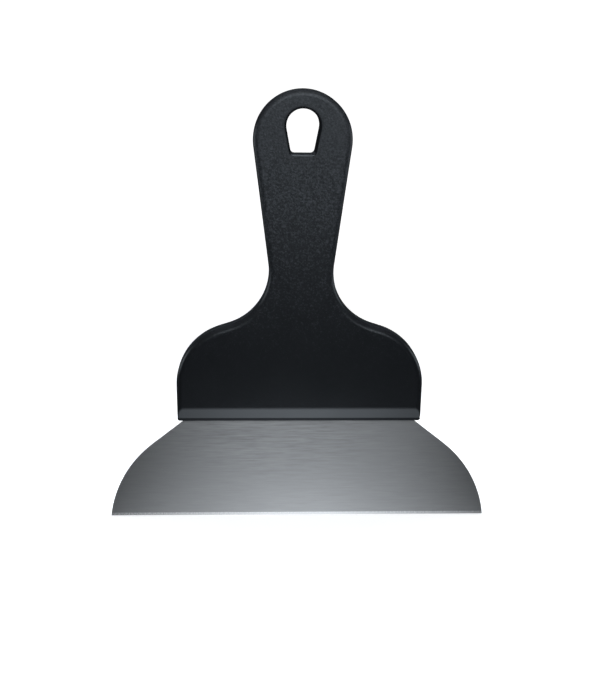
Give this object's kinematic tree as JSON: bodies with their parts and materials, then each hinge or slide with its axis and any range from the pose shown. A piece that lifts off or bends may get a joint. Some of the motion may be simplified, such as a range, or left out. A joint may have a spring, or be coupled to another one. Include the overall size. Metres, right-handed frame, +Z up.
{
  "type": "chocolate scraper",
  "caption": "Hand scraper with a wide stainless blade moulded into a black plastic handle with a tapered grip and a hang hole, for working chocolate or dough on a bench.",
  "frame": {"origin": "the point where a hook bears in the hang hole: the top of the hole, in the middle of the handle's thickness", "axes": "+X along the working edge, to the right seen from the front; +Y from the front face to the back face; +Z up the handle, away from the blade"},
  "size_m": [0.2, 0.011, 0.2225],
  "materials": {
    "steel": "brushed along the working edge, ground bright at the edge",
    "black_plastic": "fine moulded grain"
  },
  "bodies": {
    "root": {"blade": "steel", "handle": "black_plastic"}
  },
  "joints": []
}
